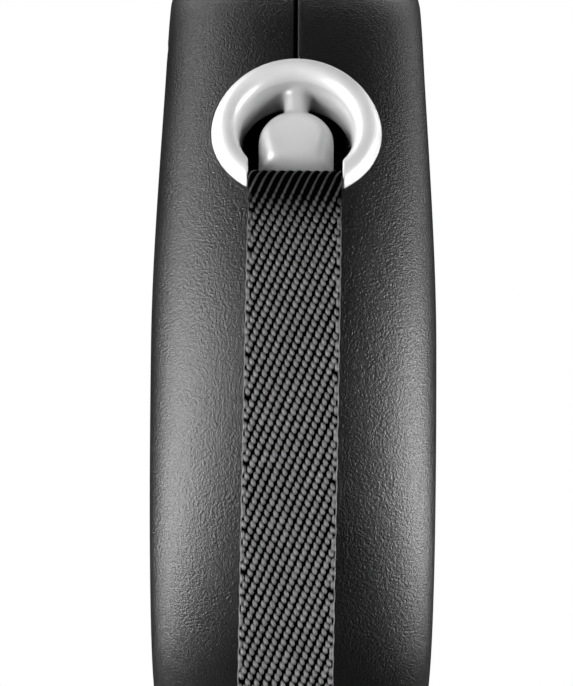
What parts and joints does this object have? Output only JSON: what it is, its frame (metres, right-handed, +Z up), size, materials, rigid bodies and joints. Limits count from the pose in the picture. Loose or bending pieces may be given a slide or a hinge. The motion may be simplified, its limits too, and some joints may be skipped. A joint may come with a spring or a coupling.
{
  "type": "retractable leash",
  "caption": "Retractable tape leash with a closed handle, brake button, lock slider, sprung reel, silver nozzle ring and a swivel snap hook on the tape's sewn end.",
  "frame": {"origin": "middle of the grip at the rear of the closed handle, on the casing's parting plane", "axes": "-Y towards the nozzle and the dog, +Y towards the back of the handle, +Z up to the brake button, X across the casing's thickness"},
  "size_m": [0.0446, 0.1725, 0.3059],
  "materials": {
    "black_abs": "spark-eroded grain, satin",
    "silver_plastic": "smooth satin silver",
    "black_webbing": "steep twill, tight selvedges",
    "grey_pom": "moulded",
    "spring_steel": "bright",
    "chromed_zinc": "polished chrome",
    "black_rubber": "matt"
  },
  "bodies": {
    "casing": {"casing_left": "black_abs", "casing_right": "black_abs", "nozzle_ring": "silver_plastic", "badge_left": "silver_plastic", "badge_right": "silver_plastic", "casing_screw_1": "spring_steel", "casing_screw_2": "spring_steel", "casing_screw_3": "spring_steel", "casing_screw_4": "spring_steel", "casing_screw_5": "spring_steel", "axle": "spring_steel", "spring_arbor": "grey_pom", "power_spring": "spring_steel", "bush_left": "grey_pom", "bush_right": "grey_pom", "pawl_pin": "spring_steel", "tape_lead": "black_webbing", "tape_bend": "black_webbing", "brake_spring": "spring_steel"},
    "reel": {"reel_hub": "grey_pom", "reel_flange": "grey_pom", "spring_cover": "grey_pom", "tape_winding": "black_webbing"},
    "button": {"brake_button": "black_abs"},
    "pawl": {"brake_pawl": "grey_pom"},
    "lock": {"lock_slider": "silver_plastic"},
    "tape": {"tape_free": "black_webbing", "tape_loop": "black_webbing", "seam_sleeve": "black_rubber"},
    "eye": {"hook_eye": "chromed_zinc"},
    "hook": {"hook_body": "chromed_zinc", "bolt_spring": "spring_steel"},
    "bolt": {"hook_bolt": "chromed_zinc"}
  },
  "joints": [
    {"name": "reel_spin", "type": "hinge", "parent": "casing", "child": "reel", "pos_m": [0, -0.098, -0.009], "axis": [1, 0, 0], "range_deg": [0, 8160], "stiffness_Nm_per_rad": 0.0016, "springref_deg": -3437.75, "deforming": ["power_spring"]},
    {"name": "brake_press", "type": "slide", "parent": "casing", "child": "button", "axis": [0, 0, -1], "range_m": [0, 0.005], "stiffness_N_per_m": 450, "springref_m": -0.004, "deforming": ["brake_spring"]},
    {"name": "pawl_turn", "type": "hinge", "parent": "casing", "child": "pawl", "pos_m": [0, -0.0735, 0.0528], "axis": [1, 0, 0], "range_deg": [0, 12.8]},
    {"name": "lock_slide", "type": "slide", "parent": "casing", "child": "lock", "axis": [0, -1, 0], "range_m": [0, 0.005]},
    {"name": "tape_swing", "type": "hinge", "parent": "casing", "child": "tape", "pos_m": [0, -0.14066, 0.02657], "axis": [-1, 0, 0], "range_deg": [0, 90], "deforming": ["tape_bend"]},
    {"name": "eye_tilt", "type": "hinge", "parent": "tape", "child": "eye", "pos_m": [0, -0.15305, -0.159], "axis": [1, 0, 0], "range_deg": [-80, 80]},
    {"name": "hook_swivel", "type": "hinge", "parent": "eye", "child": "hook", "pos_m": [0, -0.15305, -0.159], "axis": [0, 0, 1], "continuous": true},
    {"name": "bolt_slide", "type": "slide", "parent": "hook", "child": "bolt", "axis": [0, 0, 1], "range_m": [0, 0.007], "stiffness_N_per_m": 250, "springref_m": -0.004, "deforming": ["bolt_spring"]}
  ],
  "couplings": [
    {"joint": "pawl_turn", "follows": "brake_press", "rad_per_m": 44.331}
  ]
}
